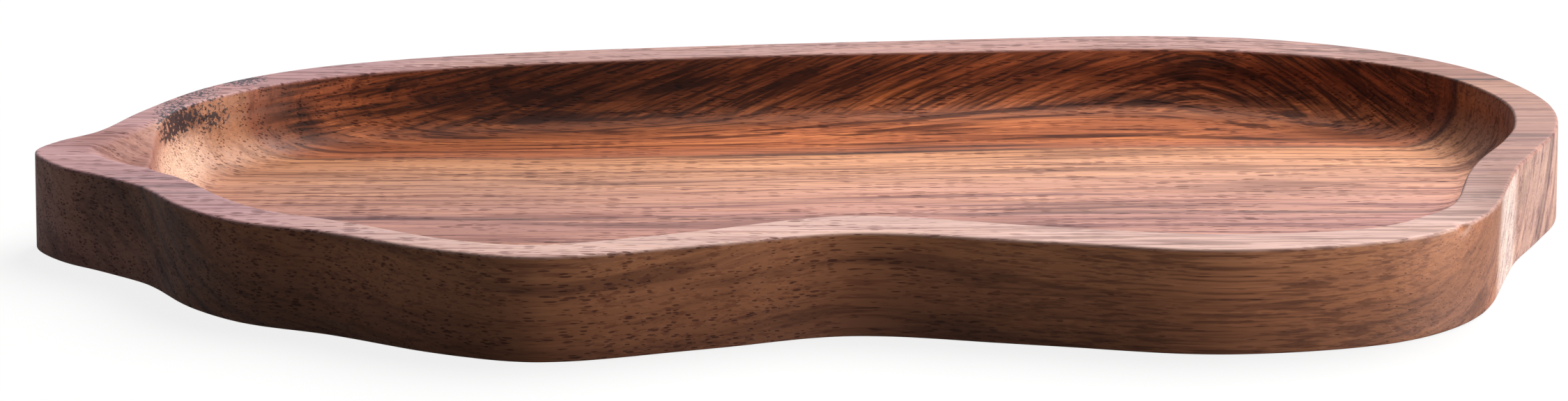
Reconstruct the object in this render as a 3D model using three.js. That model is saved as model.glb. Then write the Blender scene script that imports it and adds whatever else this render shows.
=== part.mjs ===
// Carved wooden serving platter: one solid board with a pointed end, a scooped basin and a flat rim.
// Millimetres, +Z up. The origin is under the middle of the board, on the surface that it stands on.
import * as THREE from 'three';

// Board. Length and width are those of the rim. The wall stands upright along the sides and leans
// out towards the base at both ends.
const LENGTH = 304;
const WIDTH = 145;
const HEIGHT = 20;
const RIM_WIDTH = 8;
const FLOOR_THICKNESS = 6;
const END_LEAN = 1.5;
const ROUND_END_LEAN_RUN = 45;
const TIP_LEAN_RUN = 12;

// Edges and the curve where the basin's wall runs into its floor
const COVE_RADIUS = 11;
const RIM_OUTER_RADIUS = 0.6;
const RIM_INNER_RADIUS = 0.6;
const BASE_RADIUS = 0.5;
const WALL_DRAFT = 0.4;

// Blunt end of the basin, and the shallow scoop between it and the pointed tip
const TIP_TO_BASIN = 20;
const BASIN_END_SLANT = 0.12;
const BASIN_CORNER_BLEND = 7;
const SCOOP_DEPTH = 3.5;
const SCOOP_RUN = 9;

// The cut edge of the board, counter-clockwise from the tip. Each point is its place along the
// length and across the width, in hundredths of half of each, and its share of the rim's width.
const OUTLINE = [
  [-100, -17, 1.15],
  [-95.7, -29.5, 0.98],
  [-89.5, -38, 0.82],
  [-83.3, -47, 1.03],
  [-76.5, -63, 1.07],
  [-69, -74, 0.94],
  [-58, -82, 0.8],
  [-43.5, -95, 0.7],
  [-32, -100, 0.8],
  [-13, -91.5, 0.95],
  [4, -83, 1.19],
  [25, -88.7, 1.04],
  [47, -95, 1.04],
  [66.7, -88.5, 0.91],
  [75.3, -79, 0.99],
  [81, -66, 0.92],
  [86.4, -41, 1.02],
  [88.7, -30.3, 0.98],
  [93.8, -12.7, 0.94],
  [98.2, 4.5, 1.05],
  [100, 29, 1.1],
  [95.4, 58, 1.19],
  [84.5, 80.7, 1.28],
  [67.8, 95.9, 1.39],
  [49.4, 100, 1.36],
  [18.4, 95.2, 1.24],
  [-18.8, 87.5, 1.15],
  [-54.7, 75.6, 1.15],
  [-73.7, 61, 1.03],
  [-84.2, 42.8, 0.95],
  [-90.6, 19, 0.64],
  [-94.1, 0.6, 0.6],
  [-98.4, -9, 0.94],
];

// Fineness of the faceted surface, and how closely its loops are found
const STEPS_PER_POINT = 4;
const EDGE_STEPS = 2;
const SCOOP_STEPS = 4;
const COVE_STEPS = 6;
const HALVINGS = 26;

// Length of the spine, the line inside the board that its loops shrink towards, as a share
const SPINE_SHARE = 0.6;

// Edge curves never eat more than the wood that carries them
const basinDepth = HEIGHT - FLOOR_THICKNESS;
const mostEdgeRadius = Math.min(HEIGHT / 3, RIM_WIDTH / 4);
const rimOuterRadius = Math.min(RIM_OUTER_RADIUS, mostEdgeRadius);
const baseRadius = Math.min(BASE_RADIUS, mostEdgeRadius);
const rimInnerRadius = Math.min(RIM_INNER_RADIUS, basinDepth / 2, mostEdgeRadius);
const coveRadius = Math.min(COVE_RADIUS, basinDepth - rimInnerRadius);

// Outline of the rim as steps of a closed curve, stretched to its exact length and width
function sampleOutline() {
  const halves = OUTLINE.map(([along, across, rim]) => new THREE.Vector3(
    along / 100 * LENGTH / 2,
    across / 100 * WIDTH / 2,
    rim * RIM_WIDTH,
  ));
  const curve = new THREE.CatmullRomCurve3(halves, true, 'centripetal');
  const points = curve.getPoints(OUTLINE.length * STEPS_PER_POINT).slice(0, -1);
  const box = new THREE.Box3().setFromPoints(points);
  const middle = box.getCenter(new THREE.Vector3());
  const size = box.getSize(new THREE.Vector3());
  return points.map((p) => ({
    x: (p.x - middle.x) * LENGTH / size.x,
    y: (p.y - middle.y) * WIDTH / size.y,
    rim: p.z,
  }));
}

const outline = sampleOutline();
const basinEnd = -LENGTH / 2 + TIP_TO_BASIN;

// Distance from a point to the board's edge, less a share of the rim's width at the nearest place
function gapToEdge(x, y, rimShare) {
  let least = Infinity;
  for (let i = 0; i < outline.length; i += 1) {
    const a = outline[i];
    const b = outline[(i + 1) % outline.length];
    const dx = b.x - a.x;
    const dy = b.y - a.y;
    const along = ((x - a.x) * dx + (y - a.y) * dy) / (dx * dx + dy * dy);
    const t = THREE.MathUtils.clamp(along, 0, 1);
    const gap = Math.hypot(x - a.x - t * dx, y - a.y - t * dy);
    least = Math.min(least, gap - rimShare * (a.rim + t * (b.rim - a.rim)));
  }
  return least;
}

// How far a point lies inside the board's edge, inside the rim, and inside the blunt-ended basin
const insideEdge = (x, y) => gapToEdge(x, y, 0);
const insideRim = (x, y) => gapToEdge(x, y, 1);

function insideBasin(x, y) {
  const rim = insideRim(x, y);
  const end = x + BASIN_END_SLANT * y - basinEnd;
  const overlap = Math.max(BASIN_CORNER_BLEND - Math.abs(rim - end), 0);
  return Math.min(rim, end) - overlap * overlap / (4 * BASIN_CORNER_BLEND);
}

// Closed loop of points at one level of a field, each found on the line from the edge to the spine
function levelLoop(field, level) {
  return outline.map(({ x, y }) => {
    const footX = x * SPINE_SHARE;
    let outer = 0;
    let inner = 1;
    for (let pass = 0; pass < HALVINGS; pass += 1) {
      const t = (outer + inner) / 2;
      if (field(x + t * (footX - x), y * (1 - t)) < level) {
        outer = t;
      } else {
        inner = t;
      }
    }
    return { x: x + inner * (footX - x), y: y * (1 - inner) };
  });
}

// Height of the basin's wall, cove and floor at a distance inside the basin
function basinHeight(inside) {
  if (inside < 0) {
    const over = THREE.MathUtils.clamp(inside + rimInnerRadius, 0, rimInnerRadius);
    return HEIGHT - rimInnerRadius + Math.sqrt(rimInnerRadius ** 2 - over ** 2);
  }
  const coveTop = FLOOR_THICKNESS + coveRadius;
  if (inside < WALL_DRAFT) {
    const wallTop = HEIGHT - rimInnerRadius;
    return wallTop + (coveTop - wallTop) * inside / WALL_DRAFT;
  }
  const left = Math.max(coveRadius + WALL_DRAFT - inside, 0);
  return coveTop - Math.sqrt(coveRadius ** 2 - left ** 2);
}

// Height of the scoop, level at its edge and again where it meets the basin
function scoopHeight(inside) {
  return HEIGHT - SCOOP_DEPTH * THREE.MathUtils.smoothstep(inside, 0, SCOOP_RUN);
}

function carved(loop) {
  return loop.map(({ x, y }) => {
    const z = Math.min(basinHeight(insideBasin(x, y)), scoopHeight(insideRim(x, y)));
    return { x, y, z };
  });
}

// Loop of the outer wall at one height, with the lean of the two ends
function lifted(loop, z) {
  const lean = END_LEAN * (1 - z / HEIGHT);
  return loop.map(({ x, y }) => {
    const fromEnd = LENGTH / 2 - Math.abs(x);
    const run = x > 0 ? ROUND_END_LEAN_RUN : TIP_LEAN_RUN;
    const share = THREE.MathUtils.smoothstep(run - fromEnd, 0, run);
    return { x: x + Math.sign(x) * lean * share, y, z };
  });
}

function blended(from, to, t) {
  return from.map((p, i) => ({ x: p.x + t * (to[i].x - p.x), y: p.y + t * (to[i].y - p.y) }));
}

// Loops from the underside, up the wall, over the rim and down into the basin
function platterLoops() {
  const loops = [];
  for (let i = 0; i <= EDGE_STEPS; i += 1) {
    const angle = i / EDGE_STEPS * Math.PI / 2;
    const inset = baseRadius * (1 - Math.sin(angle));
    loops.push(lifted(levelLoop(insideEdge, inset), baseRadius * (1 - Math.cos(angle))));
  }
  for (let i = 0; i <= EDGE_STEPS; i += 1) {
    const angle = i / EDGE_STEPS * Math.PI / 2;
    const inset = rimOuterRadius * (1 - Math.cos(angle));
    const z = HEIGHT - rimOuterRadius * (1 - Math.sin(angle));
    loops.push(lifted(levelLoop(insideEdge, inset), z));
  }
  for (let i = 0; i < EDGE_STEPS; i += 1) {
    const angle = i / EDGE_STEPS * Math.PI / 2;
    loops.push(carved(levelLoop(insideRim, -rimInnerRadius * (1 - Math.sin(angle)))));
  }
  const rimLoop = levelLoop(insideRim, 0);
  const wallLoop = levelLoop(insideBasin, WALL_DRAFT);
  for (let i = 0; i <= SCOOP_STEPS; i += 1) {
    loops.push(carved(blended(rimLoop, wallLoop, i / SCOOP_STEPS)));
  }
  for (let i = 1; i <= COVE_STEPS; i += 1) {
    const angle = i / COVE_STEPS * Math.PI / 2;
    const inset = WALL_DRAFT + coveRadius * (1 - Math.cos(angle));
    loops.push(carved(levelLoop(insideBasin, inset)));
  }
  return loops;
}

// Skin over a stack of loops, closed with a flat face inside the first and the last of them
function skin(loops) {
  const positions = loops.flat().flatMap(({ x, y, z }) => [x, y, z]);
  const count = loops[0].length;
  const faces = [];
  for (let ring = 0; ring < loops.length - 1; ring += 1) {
    for (let i = 0; i < count; i += 1) {
      const a = ring * count + i;
      const b = ring * count + (i + 1) % count;
      faces.push(a, b, b + count, a, b + count, a + count);
    }
  }
  const flatFace = (ring) => THREE.ShapeUtils.triangulateShape(
    loops[ring].map(({ x, y }) => new THREE.Vector2(x, y)),
    [],
  );
  const top = (loops.length - 1) * count;
  for (const [a, b, c] of flatFace(loops.length - 1)) {
    faces.push(top + a, top + b, top + c);
  }
  for (const [a, b, c] of flatFace(0)) {
    faces.push(a, c, b);
  }
  const geometry = new THREE.BufferGeometry();
  geometry.setAttribute('position', new THREE.Float32BufferAttribute(positions, 3));
  geometry.setIndex(faces);
  geometry.computeVertexNormals();
  return geometry;
}

// The whole board is one piece of oiled hardwood
const oiledWood = new THREE.MeshStandardMaterial({ color: 0xa0664a, roughness: 0.5, metalness: 0 });
const board = new THREE.Mesh(skin(platterLoops()), oiledWood);
board.name = 'platter_board';

const platter = new THREE.Group();
platter.add(board);

export default platter;
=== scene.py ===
"""Carved wooden serving platter on a plain pale floor. Metres, +Z up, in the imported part's frame."""

import math

import bpy
import numpy as np
from mathutils.geometry import delaunay_2d_cdt
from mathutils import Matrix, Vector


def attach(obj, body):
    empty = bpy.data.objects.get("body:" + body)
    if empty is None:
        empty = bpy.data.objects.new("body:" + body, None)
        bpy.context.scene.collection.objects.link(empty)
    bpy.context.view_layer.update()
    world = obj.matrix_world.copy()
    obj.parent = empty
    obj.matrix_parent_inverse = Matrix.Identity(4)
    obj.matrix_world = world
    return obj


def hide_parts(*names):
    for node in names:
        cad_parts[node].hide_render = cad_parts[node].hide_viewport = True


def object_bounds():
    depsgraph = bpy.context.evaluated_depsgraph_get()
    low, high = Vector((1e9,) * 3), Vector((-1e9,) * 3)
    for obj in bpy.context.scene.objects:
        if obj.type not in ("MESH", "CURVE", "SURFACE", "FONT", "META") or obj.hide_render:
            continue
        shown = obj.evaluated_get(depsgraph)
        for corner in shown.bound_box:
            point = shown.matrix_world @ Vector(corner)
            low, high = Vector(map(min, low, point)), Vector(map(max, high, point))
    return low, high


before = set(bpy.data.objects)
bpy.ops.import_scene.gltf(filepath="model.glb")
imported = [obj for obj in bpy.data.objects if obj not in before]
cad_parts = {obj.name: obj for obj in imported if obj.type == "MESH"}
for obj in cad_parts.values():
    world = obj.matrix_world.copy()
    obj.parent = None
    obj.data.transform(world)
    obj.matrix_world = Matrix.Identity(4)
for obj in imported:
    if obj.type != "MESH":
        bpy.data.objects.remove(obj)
cad_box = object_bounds()

# The board's shape is worked out in millimetres
MM = 0.001

# Edges, basin and scoop of the board
RIM_OUTER_RADIUS = 0.6
RIM_INNER_RADIUS = 0.6
BASE_RADIUS = 0.5
WALL_DRAFT = 0.4
COVE_RADIUS = 11.0
FLOOR_THICKNESS = 6.0
TIP_TO_BASIN = 20.0
BASIN_END_SLANT = 0.12
BASIN_CORNER_BLEND = 7.0
SCOOP_DEPTH = 3.5
SCOOP_RUN = 9.0
SPINE_SHARE = 0.6
RIM_LINE_FROM = 2.5

# Softness that hand sanding leaves on the scoop's crest and on the floor. The crest is soft where
# the scoop is deep, and the floor's wave fades at its edge.
CREST_SOFTNESS = 1.8
CREST_DEPTHS = (0.2, 2.0)
FLOOR_WAVE = 0.07
WAVE_MARGIN = 12.0

# A chip in the front edge beside the notch
CHIP = (116.5, -56.6)
CHIP_SIZE = np.array([1.4, 1.4, 1.1])
CHIP_DEPTH = 1.2
CHIP_INWARD = np.array([-0.5, 0.75, -0.6])

# How near a corner of the CAD lies to the height or the spoke that it is taken for
LEVEL_TOLERANCE = 0.002
SPOKE_TOLERANCE = 0.15

# Fineness of the mesh: points per corner of the CAD, loops of each part, and grids of flat faces
STEPS_PER_CORNER = 5
EDGE_LOOPS = 7
WALL_LOOPS = 20
RIM_SHARES = (0.05, 0.25, 0.5, 0.75, 0.95)
LIP_LOOPS = 19
LIP_ARC_LOOPS = 10
DRAFT_LOOPS = 11
COVE_LOOPS = 19
FLOOR_GRID = 5.0
UNDERSIDE_GRID = 10.0
GRID_CLEARANCE = 0.6

# How the nearest point of a loop and the level of a field are searched
WINDOW = 60
HALVINGS = 24

# Values too small to see: one keeps a division from zero, the other makes two points one
TINY = 1e-6
ONE_POINT = 1e-7

# Camera: 60 mm lens, aimed at a point on the ground. Tilt in radians, the rest in millimetres.
LENS = 60.0
SENSOR = 36.0
CAMERA_TILT = 0.33
CAMERA_DISTANCE = 542.56
CAMERA_AIM = (-5.993, 15.838, 0.0)

# Studio, in metres: the floor's half width and its gap below the board, the part of it that the
# round end mirrors, its greys and glow, how bright gloss sees the room from the front to the
# back, and the lamps' colour
FLOOR_HALF = 3.0
FLOOR_GAP = 0.00005
MIRRORED_X = (0.14, 0.24)
MIRRORED_Y = (-0.06, 0.02)
SEEN_GREY = (0.16, 0.16, 0.16, 1)
BOUNCE_GREY = (0.15, 0.14, 0.13, 1)
FLOOR_GLOW = 0.22
SEEN_GLOW = 0.62
ROOM_FOR_GLOSS = (0.0, 0.8, 0.08, 1.0)
LAMP_COLOUR = (1.0, 0.985, 0.96)


def around(points):
    """Points in order around the board's middle, counter-clockwise."""
    return points[np.argsort(np.arctan2(points[:, 1], points[:, 0]))]


def read_frame():
    """The board's cut edge, foot edge and inner rim line, and its height, from the CAD node."""
    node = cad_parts["platter_board"]
    corners = np.array([v.co for v in node.data.vertices], float) / MM
    corners = np.unique(corners.round(3), axis=0)
    height = corners[:, 2].max()

    def level(z):
        return corners[np.abs(corners[:, 2] - z) < LEVEL_TOLERANCE][:, :2]

    # The basin has points at the height of the cut edge too, but farther from the foot
    foot = around(level(BASE_RADIUS))
    high = level(height - RIM_OUTER_RADIUS)
    edge = np.array([high[np.hypot(*(high - p).T).argmin()] for p in foot])
    flat = level(height)
    line = []
    # On each spoke, the first corner of the flat rim beyond its rounded edge is the inner line
    for p in edge:
        spoke = np.array([p[0] * SPINE_SHARE, 0.0]) - p
        spoke /= np.linalg.norm(spoke)
        reach = (flat - p) @ spoke
        off = np.abs((flat - p) @ np.array([-spoke[1], spoke[0]]))
        found = np.where((off < SPOKE_TOLERANCE) & (reach > RIM_LINE_FROM))[0]
        line.append(flat[found[reach[found].argmin()]])
    return edge, foot, np.array(line), height


def smooth_loop(points):
    """A closed loop with more points, on a curve through the given ones."""
    before, after = np.roll(points, 1, axis=0), np.roll(points, -1, axis=0)
    later = np.roll(points, -2, axis=0)
    steps = []
    for i in range(STEPS_PER_CORNER):
        t = i / STEPS_PER_CORNER
        steps.append(0.5 * (
            2 * points + (after - before) * t
            + (2 * before - 5 * points + 4 * after - later) * t ** 2
            + (3 * points - before - 3 * after + later) * t ** 3
        ))
    return np.stack(steps, axis=1).reshape(-1, 2)


def smoothstep(x, start, end):
    t = np.clip((x - start) / (end - start), 0, 1)
    return t * t * (3 - 2 * t)


edge, foot, rim_line, HEIGHT = read_frame()
edge, foot, rim_line = smooth_loop(edge), smooth_loop(foot), smooth_loop(rim_line)
COUNT = len(edge)
SPINE = np.stack([edge[:, 0] * SPINE_SHARE, np.zeros(COUNT)], axis=1)
BASIN_END = edge[:, 0].min() + TIP_TO_BASIN
tangent = np.roll(edge, -1, axis=0) - np.roll(edge, 1, axis=0)
tangent /= np.linalg.norm(tangent, axis=1)[:, None]
OUTWARD = np.stack([tangent[:, 1], -tangent[:, 0]], axis=1)


def inside_loop(loop, p):
    """How far each point p[i], on the spoke from edge[i], lies inside a closed loop."""
    near = (np.arange(COUNT)[:, None] + np.arange(-WINDOW, WINDOW + 1)) % COUNT
    a = loop[near]
    ab = np.roll(loop, -1, axis=0)[near] - a
    ap = p[:, None] - a
    t = np.clip((ap * ab).sum(2) / (ab ** 2).sum(2), 0, 1)
    off = ap - t[..., None] * ab
    distance = np.hypot(off[..., 0], off[..., 1])
    k = (np.arange(COUNT), distance.argmin(1))
    left = ab[k][:, 0] * ap[k][:, 1] - ab[k][:, 1] * ap[k][:, 0]
    return np.where(left > 0, distance[k], -distance[k])


def inside_rim(p):
    """How far each point lies inside the top of the basin's wall, were it to follow the rim."""
    return inside_loop(rim_line, p) - RIM_INNER_RADIUS


def inside_basin(p):
    """How far each point lies inside the basin, which ends short of the pointed end's scoop."""
    rim = inside_rim(p)
    end = p[:, 0] + BASIN_END_SLANT * p[:, 1] - BASIN_END
    overlap = np.maximum(BASIN_CORNER_BLEND - np.abs(rim - end), 0)
    return np.minimum(rim, end) - overlap ** 2 / (4 * BASIN_CORNER_BLEND)


def level_loop(field, level):
    """The loop at one level of a field, found along the spokes."""
    outer, inner = np.zeros(COUNT), np.ones(COUNT)
    for _ in range(HALVINGS):
        middle = (outer + inner) / 2
        low = field(edge + middle[:, None] * (SPINE - edge)) < level
        outer = np.where(low, middle, outer)
        inner = np.where(low, inner, middle)
    return edge + inner[:, None] * (SPINE - edge)


def basin_height(inside):
    """Height of the lip, the wall, the cove and the floor."""
    over = np.clip(inside + RIM_INNER_RADIUS, 0, RIM_INNER_RADIUS)
    lip = HEIGHT - RIM_INNER_RADIUS + np.sqrt(RIM_INNER_RADIUS ** 2 - over ** 2)
    cove_top = FLOOR_THICKNESS + COVE_RADIUS
    wall_top = HEIGHT - RIM_INNER_RADIUS
    wall = wall_top + (cove_top - wall_top) * inside / WALL_DRAFT
    left = np.clip(COVE_RADIUS + WALL_DRAFT - inside, 0, COVE_RADIUS)
    cove = cove_top - np.sqrt(COVE_RADIUS ** 2 - left ** 2)
    return np.where(inside < 0, lip, np.where(inside < WALL_DRAFT, wall, cove))


def scoop_height(inside):
    """Height of the scoop, which sinks from the rim line inwards."""
    return HEIGHT - SCOOP_DEPTH * smoothstep(inside, 0, SCOOP_RUN)


def carved(loop):
    """A loop laid on the carved surface, with the crest of the scoop sanded round."""
    basin = basin_height(inside_basin(loop))
    scoop = scoop_height(inside_rim(loop))
    soft = CREST_SOFTNESS * smoothstep(HEIGHT - scoop, *CREST_DEPTHS) + TINY
    overlap = np.maximum(soft - np.abs(basin - scoop), 0)
    z = np.minimum(basin, scoop) - overlap ** 2 / (4 * soft)
    return np.column_stack([loop, z])


def chipped(points):
    """The board's points with a small chip out of its cut edge near the notch."""
    away = (points - np.array([*CHIP, HEIGHT])) / CHIP_SIZE
    bite = CHIP_DEPTH * np.exp(-(away ** 2).sum(1))
    return points + bite[:, None] * CHIP_INWARD


def wall_loop(z, inset):
    """A loop of the outer wall at one height, drawn in by an inset."""
    share = (HEIGHT - RIM_OUTER_RADIUS - z) / (HEIGHT - RIM_OUTER_RADIUS - BASE_RADIUS)
    loop = edge + share * (foot - edge) - inset * OUTWARD
    return np.column_stack([loop, np.full(COUNT, z)])


def board_loops():
    """Loops from the underside, up the wall, over the rim and down into the basin."""
    loops = []
    quarter = np.linspace(0, math.pi / 2, EDGE_LOOPS)
    for angle in quarter:
        z = BASE_RADIUS * (1 - math.cos(angle))
        loops.append(wall_loop(z, BASE_RADIUS * (1 - math.sin(angle))))
    for z in np.linspace(BASE_RADIUS, HEIGHT - RIM_OUTER_RADIUS, WALL_LOOPS)[1:-1]:
        loops.append(wall_loop(z, 0))
    for angle in quarter:
        z = HEIGHT - RIM_OUTER_RADIUS * (1 - math.sin(angle))
        loops.append(wall_loop(z, RIM_OUTER_RADIUS * (1 - math.cos(angle))))
    start = loops[-1][:, :2]
    for t in RIM_SHARES:
        loop = start + t * (rim_line - start)
        loops.append(np.column_stack([loop, np.full(COUNT, HEIGHT)]))
    draft_loop = level_loop(inside_basin, WALL_DRAFT)
    lip_share = RIM_INNER_RADIUS / (RIM_INNER_RADIUS + WALL_DRAFT)
    shares = np.concatenate([
        np.linspace(0, lip_share, LIP_LOOPS),
        lip_share * np.sin(np.linspace(0, math.pi / 2, LIP_ARC_LOOPS)),
        np.linspace(lip_share, 1, DRAFT_LOOPS),
    ])
    for t in np.unique(shares.round(4)):
        loops.append(carved(rim_line + t * (draft_loop - rim_line)))
    for angle in np.linspace(0, math.pi / 2, COVE_LOOPS)[1:]:
        inset = WALL_DRAFT + COVE_RADIUS * (1 - math.cos(angle))
        loops.append(carved(level_loop(inside_basin, inset)))
    return loops


def floor_wave(x, y):
    """Slight unevenness of the hand-sanded floor: three crossing waves, in millimetres."""
    return FLOOR_WAVE * (
        np.sin(x / 19 + 0.7) * np.cos(y / 14 + 0.3)
        + 0.6 * np.sin(x / 9.3 + y / 11 + 1.9)
        + 0.4 * np.cos(x / 31 - y / 7.7)
    ) / 2


def flat_face(loop, spacing, lift):
    """Points inside a loop and the triangles that fill it. lift gives each inner point's height."""
    low, high = loop[:, :2].min(0), loop[:, :2].max(0)
    gx, gy = np.meshgrid(np.arange(low[0], high[0], spacing), np.arange(low[1], high[1], spacing))
    grid = np.column_stack([gx.ravel(), gy.ravel()])
    a, b = loop[:, :2], np.roll(loop[:, :2], -1, axis=0)
    crosses = (a[:, 1] > grid[:, None, 1]) != (b[:, 1] > grid[:, None, 1])
    rise = np.where(b[:, 1] == a[:, 1], TINY, b[:, 1] - a[:, 1])
    at = a[:, 0] + (grid[:, None, 1] - a[:, 1]) * (b[:, 0] - a[:, 0]) / rise
    within = (crosses & (grid[:, None, 0] < at)).sum(1) % 2 == 1
    room = np.hypot(grid[:, None, 0] - a[:, 0], grid[:, None, 1] - a[:, 1]).min(1)
    kept = within & (room > spacing * GRID_CLEARANCE)
    grid, room = grid[kept], room[kept]
    points = np.vstack([a, grid])
    edges = [(i, (i + 1) % len(a)) for i in range(len(a))]
    found = delaunay_2d_cdt([tuple(p) for p in points], edges, [], 1, ONE_POINT)
    z = loop[0, 2] + lift(grid[:, 0], grid[:, 1]) * smoothstep(room, 0, WAVE_MARGIN)
    return np.column_stack([grid, z]), found[2], len(found[0]) == len(points)


def build_board():
    """The board as one closed mesh: loops joined by quads, and the flat faces filled."""
    loops = board_loops()
    points = [np.vstack(loops)]
    faces = []
    for ring in range(len(loops) - 1):
        for i in range(COUNT):
            a, b = ring * COUNT + i, ring * COUNT + (i + 1) % COUNT
            faces.append((a, b, b + COUNT, a + COUNT))
    total = len(loops) * COUNT

    def cap(loop, first, spacing, lift, upwards):
        nonlocal total
        inner, triangles, whole = flat_face(loop, spacing, lift)
        if not whole:
            raise RuntimeError("the flat face was filled with other points")
        points.append(inner)
        plan = np.vstack([loop[:, :2], inner[:, :2]])
        for triangle in triangles:
            face = [first + i if i < COUNT else total + i - COUNT for i in triangle]
            a, b, c = (plan[i] for i in triangle)
            turn = (b[0] - a[0]) * (c[1] - a[1]) - (b[1] - a[1]) * (c[0] - a[0])
            faces.append(tuple(face if (turn > 0) == upwards else face[::-1]))
        total += len(inner)

    cap(loops[-1], (len(loops) - 1) * COUNT, FLOOR_GRID, floor_wave, True)
    cap(loops[0], 0, UNDERSIDE_GRID, lambda x, y: 0 * x, False)
    # The smoothed curves bulge a little past the CAD corners, so they are held to its box
    corners = np.clip(chipped(np.vstack(points)) * MM, cad_box[0], cad_box[1])
    mesh = bpy.data.meshes.new("board")
    mesh.from_pydata(corners.tolist(), [], faces)
    mesh.shade_smooth()
    mesh.validate()
    board = bpy.data.objects.new("board", mesh)
    bpy.context.scene.collection.objects.link(board)
    return board


def srgb(red, green, blue):
    """A colour written as it shows on screen, from 0 to 255, as a linear one."""
    def linear(c):
        c /= 255
        return c / 12.92 if c <= 0.04045 else ((c + 0.055) / 1.055) ** 2.4
    return (linear(red), linear(green), linear(blue), 1.0)


class Graph:
    """Shorthand for a material's or the world's nodes."""

    def __init__(self, tree):
        self.tree = tree
        tree.nodes.clear()

    def put(self, socket, value):
        if isinstance(value, bpy.types.NodeSocket):
            self.tree.links.new(value, socket)
        elif value is not None:
            socket.default_value = value

    def node(self, kind, inputs=(), **settings):
        made = self.tree.nodes.new("ShaderNode" + kind)
        for name, value in settings.items():
            setattr(made, name, value)
        for name, value in dict(inputs).items():
            self.put(made.inputs[name], value)
        return made

    def math(self, operation, a, b=None, c=None):
        made = self.node("Math", operation=operation)
        for socket, value in zip(made.inputs, (a, b, c)):
            self.put(socket, value)
        return made.outputs[0]

    def vector(self, operation, a, b=None):
        made = self.node("VectorMath", operation=operation)
        self.put(made.inputs[0], a)
        if b is not None:
            self.put(made.inputs[1], b)
        return made.outputs["Value" if operation == "LENGTH" else "Vector"]

    def join(self, x, y, z):
        return self.node("CombineXYZ", {"X": x, "Y": y, "Z": z}).outputs[0]

    def split(self, vector):
        return self.node("SeparateXYZ", {"Vector": vector}).outputs

    def noise(self, vector, size, detail=2.0, roughness=0.5):
        """Noise whose grains have the given sizes along the three axes, in millimetres.

        Most of its values lie between 0.3 and 0.7, so the steps taken on it lie there too.
        """
        place = self.vector("DIVIDE", vector, size)
        inputs = {"Vector": place, "Scale": 1.0, "Detail": detail, "Roughness": roughness}
        return self.node("TexNoise", inputs).outputs

    def cells(self, vector, size):
        place = self.vector("DIVIDE", vector, size)
        return self.node("TexVoronoi", {"Vector": place, "Scale": 1.0}).outputs

    def step(self, value, start, end, low=0.0, high=1.0, kind="SMOOTHSTEP"):
        """From low at start to high at end. The node wants the smaller of the two first."""
        if start > end:
            start, end, low, high = end, start, high, low
        ends = {"From Min": start, "From Max": end, "To Min": low, "To Max": high}
        made = self.node("MapRange", {"Value": value, **ends}, interpolation_type=kind)
        return made.outputs[0]

    def ramp(self, value, stops):
        made = self.node("ValToRGB", {"Fac": value})
        ramp = made.color_ramp
        while len(ramp.elements) < len(stops):
            ramp.elements.new(1.0)
        for element, (at, colour) in zip(ramp.elements, stops):
            element.position = at
            element.color = colour
        return made.outputs[0]

    def mix(self, share, a, b, blend="MIX"):
        made = self.node("Mix", data_type="RGBA", blend_type=blend)
        self.put(made.inputs[0], share)
        self.put(made.inputs[6], a)
        self.put(made.inputs[7], b)
        return made.outputs[2]

    def tint(self, share, colour, by):
        return self.mix(share, colour, by, blend="MULTIPLY")

    def product(self, first, *others):
        for other in others:
            first = self.math("MULTIPLY", first, other)
        return first

    def largest(self, first, *others):
        for other in others:
            first = self.math("MAXIMUM", first, other)
        return first

    def outside(self, mask, share):
        """1 outside a mask, and less by a share inside it."""
        return self.math("MULTIPLY_ADD", mask, -share, 1.0)

    def mix_shaders(self, share, a, b):
        made = self.node("MixShader")
        for socket, value in zip(made.inputs, (share, a, b)):
            self.put(socket, value)
        return made.outputs[0]

    def blob(self, place, centre, radii, full=0.4):
        """1 in an ellipsoid out to a share of its radii, fading to 0 at its surface."""
        away = self.vector("DIVIDE", self.vector("SUBTRACT", place, centre), radii)
        return self.step(self.vector("LENGTH", away), 1.0, full)


# The board was sawn with its pith above and in front of it. Rings are told by their radius.
PITH_Y = -85.0
PITH_Z = 45.0
RADIUS_FROM = 25.0
RADIUS_TO = 175.0

# Tones of the wood from the front of the board to its back, by ring radius. The darkest, from 131 to
# 145, lie high on the back wall and hold painted shade as well as darker wood.
RING_TONES = [
    (25, srgb(194, 130, 90)),
    (36, srgb(186, 120, 82)),
    (42, srgb(168, 106, 72)),
    (47, srgb(148, 93, 64)),
    (53, srgb(148, 98, 76)),
    (60, srgb(168, 112, 88)),
    (68, srgb(196, 138, 120)),
    (79, srgb(200, 143, 131)),
    (90, srgb(213, 154, 133)),
    (101, srgb(219, 159, 130)),
    (112, srgb(226, 159, 119)),
    (116.5, srgb(220, 150, 107)),
    (118, srgb(200, 116, 76)),
    (126, srgb(190, 108, 68)),
    (131, srgb(160, 86, 48)),
    (137, srgb(92, 48, 28)),
    (145, srgb(86, 50, 38)),
    (160, srgb(150, 98, 76)),
]

# Dark late-wood lines: ring radius, how dark, and how far the line fades towards the bark.
# The first three show only at the pointed end.
END_LINES = [
    (53.0, 0.50, 1.0),
    (56.3, 1.00, 1.2),
    (60.5, 0.70, 1.2),
]
RING_LINES = [
    (70.5, 0.25, 1.6),
    (81.0, 0.72, 2.2),
    (89.0, 0.42, 1.4),
    (98.0, 0.20, 1.0),
    (116.7, 1.00, 2.4),
    (120.5, 0.35, 1.2),
]
LINE_ONSET = 0.3
LINE_SWAY = 1.0
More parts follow.
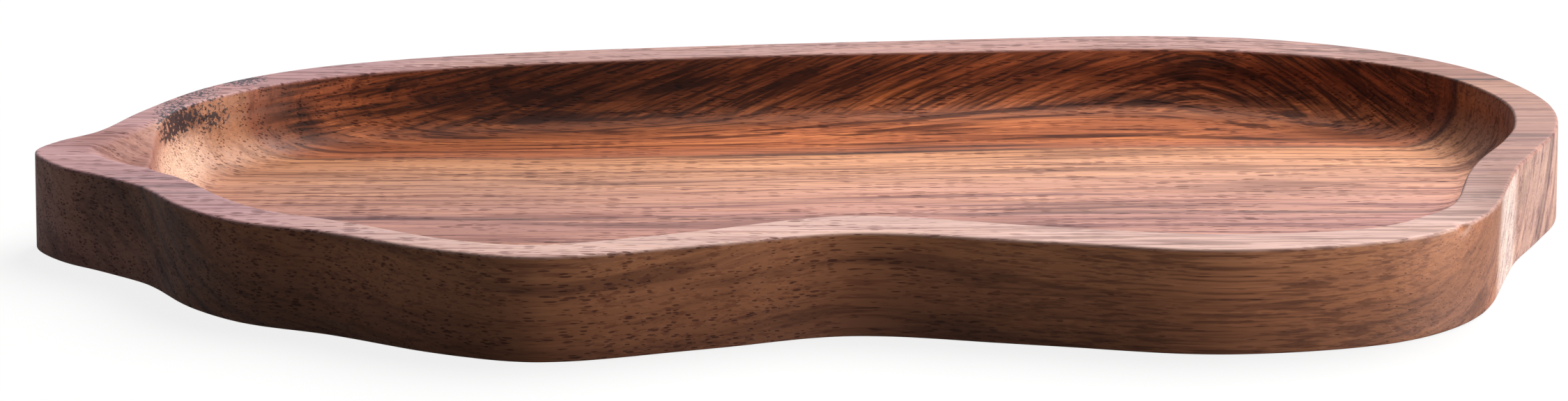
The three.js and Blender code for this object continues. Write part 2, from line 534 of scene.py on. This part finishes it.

# Tints that darker and paler wood give the tone around it, and one tint of painted shade
DARK_BROWN = (0.30, 0.22, 0.20, 1)
DARK_PURPLE = (0.34, 0.26, 0.36, 1)
DARK_RED = (0.44, 0.27, 0.27, 1)
DARK_STROKE = (0.26, 0.23, 0.24, 1)
DARK_LINE = (0.10, 0.07, 0.10, 1)
DARK_PORE = (0.26, 0.16, 0.17, 1)
# A tint of painted shade, laid where the board's own shade falls
PAINTED_SHADE = (0.38, 0.35, 0.33, 1)
PALE = (1.18, 1.24, 1.32, 1)
GOLDEN = (1.24, 1.26, 1.16, 1)
PALE_STROKE = (1.75, 1.84, 1.84, 1)
PALE_COVE = (1.15, 1.22, 1.22, 1)
BRIGHT_GRAIN_GLINT = (1.3, 1.25, 1.2, 1)
DULL_GRAIN = (0.72, 0.66, 0.62, 1)

# Colours of single places
# The flat rim's colours: paler and bluer than the walls as a painted sheen, palest at the front and
# darkest at the round end
FRONT_RIM_SHEEN = srgb(228, 190, 180)
BACK_RIM_SHEEN = srgb(202, 155, 147)
RIGHT_RIM = srgb(160, 118, 106)
LEFT_RIM_SHEEN = srgb(192, 148, 151)
END_GRAIN = srgb(172, 146, 132)
# Painted highlight down the notch
NOTCH_HIGHLIGHT_COLOUR = srgb(230, 209, 200)
# Golden end grain with painted light on it
GOLD_AND_PAINTED_LIGHT = srgb(230, 188, 164)
SCOOP_RED = srgb(150, 100, 88)
COVE_DARKEST = srgb(58, 25, 14)
MOTTLE_BLACK = srgb(36, 32, 42)
CHECK_BROWN = srgb(66, 40, 34)

# Places on the board: middle and radii of an ellipsoid, in millimetres
GOLD_LIT_WALL = ((-131, 10, 9), (9, 26, 8.5))
SCOOP_FACE = ((-138, -5, 18), (15, 13, 7))
BACK_CORNER_SHADE = ((-112, 32, 12), (12, 12, 12))
# Where the painted highlight runs down the notch
PAINTED_NOTCH_HIGHLIGHT = ((134, -33.5, 10), (13, 13, 40))
CHECKS = ((126.7, -51.0, 8.0), (6, 6, 7))
MOTTLES = (
    ((-131, 15, 17.5), (7, 14, 4.4)),
    ((-129, 27, 16), (9, 11, 7)),
    ((-122, 37, 18), (9, 8, 5)),
)

# Grain sizes of the noises in millimetres: along x, across the rings or along y, and along z
BENDS = (150, 60, 60)
CLOUDS = (80, 5, 14)
RING_STREAKS = (75, 1.3, 6)
PALE_STREAKS = (60, 1.5, 7)
END_BANDS = (120, 1.7, 60)
LEANING_STROKES = (20, 9, 0.9)
FRONT_STROKES = (26, 1.1, 0.55)
FIBRES = (32, 0.85, 0.7)
LIGHT_FIBRES = (30, 0.6, 0.6)
LINE_WAVES = (26, 8, 8)
LINE_PATCHES = (45, 3, 8)
PORE_CROWDS = (30, 4, 7)
SPARKLES = (0.45, 0.45, 0.45)
SPECKLES = (0.7, 0.8, 0.8)
CRACKS = (0.9, 0.9, 2.6)
GRIT = (0.5, 0.5, 0.5)

# How far the grain bends along y and z, in millimetres
BEND_Y = 1.6
BEND_Z = 2.4

# A stretch is where a look starts, where it is full and, unless they are 0 and 1, its first and
# last strength. These lie along x, from the pointed end to the round end.
RING_SHIFT = (-60, 80, 0, 7.4)
CLIMB = (-110, 75, 0, 26)
DIP = (70, 135, 0, -22)
LEAN = (-110, 130, 0, 60)
LEAN_BACK = (80, 140, 0, -30)
LEFT_SHADE = (10, -75, 0, 0.60)
RIGHT_SHADE = (60, 118, 0, 0.40)
LEFT_HALF_SHADE = (5, -75, 0, 0.40)
LEFT_RIM_X = (-60, -110)
RIGHT_RIM_X = (108, 132)
ROUND_END_X = (124, 140)
INNER_SHADE_X = (100, 124)
END_BANDS_X = (130, 140)
DRAWN_OUT_X = (0, 55)
FEW_STREAKS_LEFT = (-128, -98, 0.45, 1)
FEW_STREAKS_RIGHT = (120, 138, 1, 0.8)
FAINT_PORES_X = (128, 142, 1, 0.3)
END_LINES_X = (-70, -95)
RING_LINES_X = (-118, -100)

# Stretches along y and z
BACK_RIM_Y = (0, 45)
PAINTED_RIM_SHEEN = (HEIGHT - 0.8, HEIGHT - 0.1, 0, 0.78)
END_BELOW_RIM = (HEIGHT - 0.2, HEIGHT - 0.8, 0, 0.60)
NOTCH_BELOW_RIM = (HEIGHT - 0.2, HEIGHT - 0.7)
WALL_BELOW_RIM = (HEIGHT - 0.4, HEIGHT - 0.8)
WALL_ABOVE_FLOOR = (FLOOR_THICKNESS + 0.8, FLOOR_THICKNESS + 3)
STREAKS_NEAR_FLOOR = (FLOOR_THICKNESS + 3, FLOOR_THICKNESS + 1)
DULL_COVE = (FLOOR_THICKNESS + 8, FLOOR_THICKNESS + 3)
FEW_STREAKS_ON_RIM = (HEIGHT - 1.2, HEIGHT - 0.1, 1, 0.85)
HIGH_SHADE = (9, 18, 0, 0.50)

# Stretches across the rings, by their radius
SHIFTED_RINGS = (60, 105)
FRONT_RINGS = (68, 60)
SAWN_FRONT_RINGS = (70, 54)
STREAKED_RINGS = (42, 62, 0.40, 1)
PURPLE_RINGS = (112, 84)
SHADED_RINGS = (117, 126)
BEHIND_LINE = (118, 122)
DULL_RINGS = (118, 124)
WALL_RINGS = (118, 125)
CLIMBING_RINGS = (119, 136)
HIGH_RINGS = (120, 134)

# Stretches by how far the surface faces the round end
FACES_IN_AT_POINT = (-0.4, -0.1)
# Painted shade on the round end's inner wall, by how far it faces the pointed end
INNER_SHADE_BY_FACING = (-0.15, -0.75, 0, 0.80)
FACES_END = (0.0, 0.4)
FACES_END_WITH_BANDS = (0.1, 0.5)
FIBRES_CUT_ACROSS = (0.15, 0.70, 1, 0.35)


def radius_share(radius):
    return (radius - RADIUS_FROM) / (RADIUS_TO - RADIUS_FROM)


def line_ramp(g, share, lines):
    """Grey ramp of dark lines: sharp on the pith side, fading towards the bark."""
    stops = []
    for radius, dark, fade in lines:
        stops += [
            (radius_share(radius - LINE_ONSET), (0, 0, 0, 1)),
            (radius_share(radius), (dark, dark, dark, 1)),
            (radius_share(radius + fade), (0, 0, 0, 1)),
        ]
    return g.ramp(share, stops)


class Wood:
    """Where a point lies in the wood: on the board, across the rings, and along the fibres."""

    def __init__(self, g):
        scaled = g.node("VectorMath", {"Scale": 1 / MM}, operation="SCALE")
        g.put(scaled.inputs[0], g.node("TexCoord").outputs["Object"])
        self.place = scaled.outputs[0]
        self.x, self.y, self.z = g.split(self.place)
        # How far the surface faces the round end: 1 there, -1 towards the pointed end
        self.facing = g.split(g.node("TexCoord").outputs["Normal"])[0]
        self.lay_rings(g)
        self.mark_parts(g)
        self.streak = g.noise(self.rings, RING_STREAKS, detail=3.0, roughness=0.64)["Fac"]
        self.pale_streak = g.noise(self.rings, PALE_STREAKS, detail=3.0, roughness=0.6)["Fac"]
        self.fibre = g.noise(self.fibres, FIBRES, detail=3.0, roughness=0.6)["Fac"]

    def lay_rings(self, g):
        """Ring radius, and the wood's own coordinates for what follows the rings or the fibres."""
        bend = g.split(g.noise(self.place, BENDS, detail=1.0)["Color"])
        y_bent = g.math("MULTIPLY_ADD", bend[0], BEND_Y, g.math("SUBTRACT", self.y, BEND_Y / 2))
        z_bent = g.math("MULTIPLY_ADD", bend[1], BEND_Z, g.math("SUBTRACT", self.z, BEND_Z / 2))
        from_pith_y = g.math("SUBTRACT", y_bent, PITH_Y)
        from_pith_z = g.math("SUBTRACT", z_bent, PITH_Z)
        plain_radius = g.vector("LENGTH", g.join(0.0, from_pith_y, from_pith_z))
        shift = g.product(g.step(self.x, *RING_SHIFT), g.step(plain_radius, *SHIFTED_RINGS))
        self.radius = g.math("SUBTRACT", plain_radius, shift)
        # Behind the main dark line the grain climbs towards the round end, then dips again
        self.behind = g.step(self.radius, *CLIMBING_RINGS)
        climb = g.math("ADD", g.step(self.x, *CLIMB), g.step(self.x, *DIP))
        rise = g.product(climb, self.behind)
        self.figured = g.math("MULTIPLY_ADD", rise, -0.5, self.radius)
        z_risen = g.math("SUBTRACT", z_bent, rise)
        self.rings = g.join(self.x, self.figured, g.math("MULTIPLY_ADD", y_bent, 0.25, z_risen))
        self.fibres = g.join(self.x, y_bent, z_bent)
        # Strokes on the back wall lean more, and turn down again at the round end
        lean = g.math("ADD", g.step(self.x, *LEAN), g.step(self.x, *LEAN_BACK))
        self.leaning = g.join(self.x, y_bent, g.math("SUBTRACT", z_bent, lean))

    def mark_parts(self, g):
        """Parts of the board that more than one look needs, each 1 inside and 0 outside."""
        self.inside_point = g.step(self.facing, *FACES_IN_AT_POINT)
        # End grain shows little of the fibres
        self.along = g.step(self.facing, *FIBRES_CUT_ACROSS)
        self.purple = g.step(self.radius, *PURPLE_RINGS)
        self.behind_line = g.step(self.radius, *BEHIND_LINE)
        steep = g.product(g.step(self.z, *WALL_ABOVE_FLOOR), g.step(self.z, *WALL_BELOW_RIM))
        self.back_wall = g.product(g.step(self.radius, *WALL_RINGS), steep)
        self.drawn_out = g.step(self.x, *DRAWN_OUT_X)
        self.front_right = g.product(self.drawn_out, g.step(self.radius, *FRONT_RINGS))


def ring_tones(g, wood):
    """Broad tones and clouds of the growth rings, with painted shade high up behind, towards the ends
    and over the half towards the pointed end.
    """
    share = g.step(wood.figured, RADIUS_FROM, RADIUS_TO, kind="LINEAR")
    colour = g.ramp(share, [(radius_share(radius), tone) for radius, tone in RING_TONES])
    cloud = g.noise(wood.rings, CLOUDS, detail=3.0, roughness=0.6)["Fac"]
    colour = g.tint(g.step(cloud, 0.52, 0.66, 0, 0.60), colour, DARK_BROWN)
    colour = g.tint(g.step(cloud, 0.46, 0.32, 0, 0.45), colour, PALE)
    # Painted shade: high on the back wall, behind the main dark line towards both ends, and over the
    # half towards the pointed end
    high = g.product(g.step(wood.z, *HIGH_SHADE), g.step(wood.radius, *HIGH_RINGS))
    ends = g.largest(g.step(wood.x, *LEFT_SHADE), g.step(wood.x, *RIGHT_SHADE))
    ends = g.product(ends, g.step(wood.radius, *SHADED_RINGS))
    shade = g.largest(high, ends, g.step(wood.x, *LEFT_HALF_SHADE))
    return g.tint(shade, colour, PAINTED_SHADE)


def rim_sheen_and_round_end(g, wood, colour):
    """The flat rim is painted paler and bluer than the walls as a painted sheen, and the round end's
    end grain is paler.
    """
    # Painted sheen on the flat rim, by where it lies
    rim = g.mix(g.step(wood.y, *BACK_RIM_Y), FRONT_RIM_SHEEN, BACK_RIM_SHEEN)
    rim = g.mix(g.step(wood.x, *RIGHT_RIM_X), rim, RIGHT_RIM)
    rim = g.mix(g.step(wood.x, *LEFT_RIM_X), rim, LEFT_RIM_SHEEN)
    colour = g.mix(g.step(wood.z, *PAINTED_RIM_SHEEN), colour, rim)
    end = g.product(g.step(wood.x, *ROUND_END_X), g.step(wood.z, *END_BELOW_RIM))
    end = g.product(end, g.step(wood.facing, *FACES_END))
    colour = g.mix(end, colour, END_GRAIN)
    # A painted highlight down the notch, and painted shade on the round end's inner wall
    notch = g.product(g.blob(wood.place, *PAINTED_NOTCH_HIGHLIGHT, full=0.5), g.step(wood.z, *NOTCH_BELOW_RIM))
    colour = g.mix(g.product(notch, 0.74), colour, NOTCH_HIGHLIGHT_COLOUR)
    inner = g.product(g.step(wood.x, *INNER_SHADE_X), g.step(wood.facing, *INNER_SHADE_BY_FACING))
    return g.tint(inner, colour, PAINTED_SHADE)


def end_tones(g, wood, colour):
    """Pale golden end grain on the pointed end's wall, with painted light and glints on it, painted
    shade in its back corner, and the scoop's darker, reddish face.
    """
    gold = g.product(g.blob(wood.place, *GOLD_LIT_WALL), wood.inside_point)
    # Paler golden end grain with painted light on it, where the wall faces the lamps
    colour = g.mix(g.product(gold, 0.84), colour, GOLD_AND_PAINTED_LIGHT)
    sparkle = g.noise(wood.place, SPARKLES, detail=1.0)["Fac"]
    # Bright specks, partly grain and partly painted glints, and dull specks of grain
    colour = g.tint(g.product(gold, g.step(sparkle, 0.52, 0.66)), colour, BRIGHT_GRAIN_GLINT)
    colour = g.tint(g.product(gold, g.step(sparkle, 0.44, 0.32, 0, 0.8)), colour, DULL_GRAIN)
    # Painted shade in the back corner beside the golden wall
    corner = g.blob(wood.place, *BACK_CORNER_SHADE, full=0.2)
    colour = g.tint(g.product(corner, 0.7), colour, PAINTED_SHADE)
    scoop = g.blob(wood.place, *SCOOP_FACE)
    return g.mix(g.product(scoop, 0.55), colour, SCOOP_RED), gold, scoop


def ring_streaks(g, wood, colour, clear_of_gold):
    """Long streaks that follow the rings, fewer at the ends, on the rim and on the front wall."""
    clear = g.product(
        clear_of_gold,
        g.step(wood.radius, *STREAKED_RINGS),
        g.step(wood.x, *FEW_STREAKS_LEFT),
        g.step(wood.x, *FEW_STREAKS_RIGHT),
        g.step(wood.z, *FEW_STREAKS_ON_RIM),
    )
    dark = g.mix(wood.purple, DARK_BROWN, DARK_PURPLE)
    colour = g.tint(g.product(g.step(wood.streak, 0.54, 0.61, 0, 0.68), clear), colour, dark)
    return g.tint(g.product(g.step(wood.pale_streak, 0.54, 0.61, 0, 0.9), clear), colour, GOLDEN)


def back_strokes(g, wood, colour):
    """Strokes that lean on the back wall, and level streaks in the cove below it."""
    wall = wood.back_wall
    stroke = g.noise(wood.leaning, LEANING_STROKES, detail=4.0, roughness=0.62)["Fac"]
    colour = g.tint(g.product(g.step(stroke, 0.50, 0.58, 0, 0.85), wall), colour, DARK_STROKE)
    colour = g.tint(g.product(g.step(stroke, 0.48, 0.38), wall), colour, PALE_STROKE)
    cove = g.product(wood.behind_line, g.step(wood.z, *STREAKS_NEAR_FLOOR))
    colour = g.tint(g.product(g.step(wood.streak, 0.50, 0.58, 0, 0.60), cove), colour, DARK_BROWN)
    return g.tint(g.product(g.step(wood.pale_streak, 0.50, 0.60), cove), colour, PALE_COVE)


def fibre_streaks(g, wood, colour, clear_of_gold):
    """Short fine streaks along the fibres, and long strokes on the front's right half."""
    front = g.product(wood.front_right, wood.along)
    stroke = g.noise(wood.fibres, FRONT_STROKES, detail=2.0, roughness=0.45)["Fac"]
    colour = g.tint(g.product(g.step(stroke, 0.50, 0.60, 0, 0.58), front), colour, DARK_BROWN)
    clear = g.product(clear_of_gold, g.outside(front, 0.6), g.outside(wood.back_wall, 0.6))
    clear = g.product(clear, wood.along)
    dark = g.mix(wood.purple, DARK_BROWN, DARK_RED)
    colour = g.tint(g.product(g.step(wood.fibre, 0.54, 0.60, 0, 0.55), clear), colour, dark)
    light = g.noise(wood.fibres, LIGHT_FIBRES)["Fac"]
    return g.tint(g.step(light, 0.56, 0.66, 0, 0.7), colour, PALE)


def end_bands(g, wood, colour):
    """Dark bands where the rings come out on the round end's end grain."""
    band = g.noise(wood.rings, END_BANDS)["Fac"]
    end = g.product(g.step(wood.x, *END_BANDS_X), g.step(wood.facing, *FACES_END_WITH_BANDS))
    return g.tint(g.product(g.step(band, 0.48, 0.60, 0, 0.62), end), colour, DARK_PURPLE)


def ring_lines(g, wood, colour, clear_of_gold):
    """Dark late-wood lines, darker in some stretches than in others."""
    wave = g.noise(wood.rings, LINE_WAVES, detail=3.0)["Fac"]
    unswayed = g.math("SUBTRACT", wood.figured, LINE_SWAY / 2)
    line_at = g.math("MULTIPLY_ADD", wave, LINE_SWAY, unswayed)
    share = g.step(line_at, RADIUS_FROM, RADIUS_TO, kind="LINEAR")
    end_lines = g.product(line_ramp(g, share, END_LINES), g.step(wood.x, *END_LINES_X))
    patchy = g.step(g.noise(wood.rings, LINE_PATCHES, detail=4.0)["Fac"], 0.38, 0.56, 0.45, 0.95)
    patchy = g.product(patchy, g.step(wood.x, *RING_LINES_X))
    lines = g.product(line_ramp(g, share, RING_LINES), patchy, clear_of_gold)
    return g.tint(g.largest(lines, end_lines), colour, DARK_LINE)


def specks(g, wood, size, channel, spread, least, blur):
    """One mark in each cell along the fibres. Their reach is least plus up to spread."""
    cell = g.cells(wood.fibres, size)
    reach = g.math("MULTIPLY_ADD", g.split(cell["Color"])[channel], spread, least)
    return g.step(g.math("SUBTRACT", cell["Distance"], reach), *blur, 1, 0)


def pore_marks(g, wood):
    """Pores: short dashes and long hairs along the grain, flecks and strokes on the sawn walls."""
    crowd = g.noise(wood.rings, PORE_CROWDS, roughness=0.6)["Fac"]
    crowded = g.step(crowd, 0.36, 0.60, 0.26, 0.56)
    size = (3.6, 0.46, 0.46)
    dashes = specks(g, wood, size, channel=0, spread=crowded, least=0.0, blur=(-0.12, 0.05))
    dashes = g.product(dashes, g.outside(wood.front_right, 0.6))
    size = (18, 0.50, 0.50)
    hairs = specks(g, wood, size, channel=1, spread=0.44, least=-0.18, blur=(-0.10, 0.04))
    # End grain shows both as faint dots only
    fine = g.product(g.largest(dashes, hairs), g.step(wood.x, *FAINT_PORES_X))
    # Towards the round end the flecks on the front draw out into strokes
    size = (3.4, 0.60, 0.50)
    flecks = specks(g, wood, size, channel=2, spread=0.60, least=-0.20, blur=(-0.16, 0.16))
    flecks = g.product(flecks, 0.42)
    flecks = g.product(flecks, g.outside(wood.drawn_out, 0.8))
    size = (18, 0.75, 0.55)
    strokes = specks(g, wood, size, channel=0, spread=0.62, least=-0.16, blur=(-0.18, 0.14))
    strokes = g.product(strokes, 0.35)
    strokes = g.product(strokes, wood.drawn_out)
    sawn = g.largest(g.step(wood.radius, *SAWN_FRONT_RINGS), wood.behind)
    return g.largest(fine, g.product(g.largest(strokes, flecks), wood.along, sawn))


def marks(g, wood, colour):
    """Blue-black mottles that hug the rim round the pointed end's back corner, and small checks."""
    patch = g.largest(*[g.blob(wood.place, *mottle, full=0.3) for mottle in MOTTLES])
    speckle = g.noise(wood.place, SPECKLES, detail=3.0, roughness=0.6)["Fac"]
    spots = g.step(g.math("MULTIPLY_ADD", patch, 0.20, speckle), 0.56, 0.66)
    spots = g.product(spots, g.step(patch, 0.02, 0.30), wood.inside_point)
    colour = g.mix(g.product(spots, 0.90), colour, MOTTLE_BLACK)
    # Small drying checks low on the wall beside the notch
    crack = g.noise(wood.place, CRACKS, detail=3.0, roughness=0.6)["Fac"]
    checks = g.product(g.step(crack, 0.57, 0.63), g.blob(wood.place, *CHECKS))
    return g.mix(g.product(checks, 0.7), colour, CHECK_BROWN)


def oiled_hardwood(name):
    """Oiled hardwood with growth rings, streaks, pores and the marks that the photo shows."""
    material = bpy.data.materials.new(name)
    material.use_nodes = True
    g = Graph(material.node_tree)
    wood = Wood(g)
    colour, gold, scoop = end_tones(g, wood, rim_sheen_and_round_end(g, wood, ring_tones(g, wood)))
    clear_of_gold = g.outside(gold, 0.8)
    colour = ring_streaks(g, wood, colour, clear_of_gold)
    colour = back_strokes(g, wood, colour)
    colour = fibre_streaks(g, wood, colour, clear_of_gold)
    colour = end_bands(g, wood, colour)
    # The darkest wood behind the main dark line stays a warm brown
    colour = g.mix(wood.behind_line, colour, COVE_DARKEST, blend="LIGHTEN")
    colour = ring_lines(g, wood, colour, clear_of_gold)
    pores = pore_marks(g, wood)
    colour = g.tint(g.product(pores, 0.80), colour, DARK_PORE)
    colour = marks(g, wood, colour)

    # Finish: satin oil, duller in the pores and in the cove, with the grain just felt
    sheen = g.step(wood.streak, 0.3, 0.7, 0.48, 0.60)
    sheen = g.math("MULTIPLY_ADD", g.largest(gold, scoop), 0.16, sheen)
    roughness = g.math("MULTIPLY_ADD", pores, 0.2, sheen)
    cove = g.product(g.step(wood.radius, *DULL_RINGS), g.step(wood.z, *DULL_COVE))
    specular = g.math("MULTIPLY_ADD", cove, -0.3, 0.5)
    grit = g.product(g.noise(wood.place, GRIT)["Fac"], gold)
    relief = g.math("MULTIPLY_ADD", pores, -1.0, g.math("MULTIPLY_ADD", wood.fibre, -0.6, grit))
    bump = g.node("Bump", {"Strength": 0.5, "Distance": 0.1 * MM, "Height": relief}).outputs[0]
    shader = g.node("BsdfPrincipled", {
        "Base Color": colour,
        "Roughness": roughness,
        "Specular IOR Level": specular,
        "Normal": bump,
        "IOR": 1.42,
        "Coat Weight": 0.06,
        "Coat Roughness": 0.30,
    })
    g.node("OutputMaterial", {"Surface": shader.outputs[0]})
    return material


def studio_floor():
    """A wide pale floor. It sends little light back up, so that the walls stay in shade."""
    mesh = bpy.data.meshes.new("studio_floor")
    corners = [(x * FLOOR_HALF, y * FLOOR_HALF, 0) for x, y in ((-1, -1), (1, -1), (1, 1), (-1, 1))]
    mesh.from_pydata(corners, [], [(0, 1, 2, 3)])
    floor = bpy.data.objects.new("studio_floor", mesh)
    floor.location.z = -FLOOR_GAP
    bpy.context.scene.collection.objects.link(floor)
    material = bpy.data.materials.new("pale_floor")
    material.use_nodes = True
    g = Graph(material.node_tree)
    rays = g.node("LightPath").outputs
    # The eye sees it bright, and so does gloss where the round end mirrors it
    eye = g.largest(rays["Is Camera Ray"], rays["Is Transmission Ray"])
    place = g.split(g.node("TexCoord").outputs["Object"])
    mirrored = g.product(g.step(place["X"], *MIRRORED_X), g.step(place["Y"], *MIRRORED_Y))
    gloss = g.product(mirrored, rays["Is Glossy Ray"])
    strength = g.math("MULTIPLY_ADD", g.largest(eye, gloss), SEEN_GLOW, FLOOR_GLOW)
    glow = g.node("Emission", {"Color": (1, 1, 1, 1), "Strength": strength}).outputs[0]
    seen = g.node("BsdfDiffuse", {"Color": SEEN_GREY}).outputs[0]
    both = g.node("AddShader")
    g.put(both.inputs[0], seen)
    g.put(both.inputs[1], glow)
    bounce = g.node("BsdfDiffuse", {"Color": BOUNCE_GREY}).outputs[0]
    shown = g.mix_shaders(rays["Is Diffuse Ray"], both.outputs[0], bounce)
    g.node("OutputMaterial", {"Surface": shown})
    mesh.materials.append(material)


def studio_light():
    """White surroundings for the eye, a room for gloss, faint light all round, and two lamps."""
    scene = bpy.context.scene
    world = bpy.data.worlds.new("studio")
    scene.world = world
    world.use_nodes = True
    g = Graph(world.node_tree)
    path = g.node("LightPath").outputs
    direction = g.split(g.node("TexCoord").outputs["Generated"])
    # Gloss sees a bright room behind the board and a dim one in front
    brightness = g.step(direction[1], *ROOM_FOR_GLOSS)
    ambient = g.node("Background", {"Color": (0.92, 0.96, 1.0, 1), "Strength": 0.09}).outputs[0]
    room = {"Color": (0.80, 0.89, 1.0, 1), "Strength": brightness}
    glossy = g.node("Background", room).outputs[0]
    white = g.node("Background", {"Color": (1, 1, 1, 1), "Strength": 1.0}).outputs[0]
    lit = g.mix_shaders(path["Is Glossy Ray"], ambient, glossy)
    eye = g.largest(path["Is Camera Ray"], path["Is Transmission Ray"])
    g.node("OutputWorld", {"Surface": g.mix_shaders(eye, lit, white)})

    def lamp(name, direction, distance, size, power):
        light = bpy.data.lights.new(name, "AREA")
        light.shape = "ELLIPSE"
        light.size, light.size_y = size
        light.energy = power
        light.color = LAMP_COLOUR
        made = bpy.data.objects.new(name, light)
        unit = np.array(direction, float) / np.linalg.norm(direction)
        made.location = unit * distance
        made.rotation_mode = "QUATERNION"
        made.rotation_quaternion = made.location.to_track_quat("Z", "Y")
        scene.collection.objects.link(made)

    # A large soft window above and behind, and a small low light at the right
    lamp("window", direction=(0.40, 0.36, 0.84), distance=1.7, size=(1.4, 1.4), power=42.0)
    lamp("side", direction=(0.93, -0.30, 0.065), distance=0.5, size=(0.26, 0.06), power=1.7)


def make_camera():
    """The camera that took the photo, as the rim's and the base's traced edges give it."""
    data = bpy.data.cameras.new("camera")
    data.lens = LENS
    data.sensor_width = SENSOR
    data.sensor_fit = "HORIZONTAL"
    data.clip_start = 0.01
    camera = bpy.data.objects.new("camera", data)
    back = np.array([0.0, -math.cos(CAMERA_TILT), math.sin(CAMERA_TILT)])
    camera.location = (np.array(CAMERA_AIM) + CAMERA_DISTANCE * back) * MM
    camera.rotation_euler = (math.pi / 2 - CAMERA_TILT, 0, 0)
    bpy.context.scene.collection.objects.link(camera)
    bpy.context.scene.camera = camera


make_camera()
studio_light()
studio_floor()
board = build_board()
board.data.materials.append(oiled_hardwood("oiled_wood"))
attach(board, "root")
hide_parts("platter_board")
bpy.context.scene.view_settings.view_transform = "Standard"
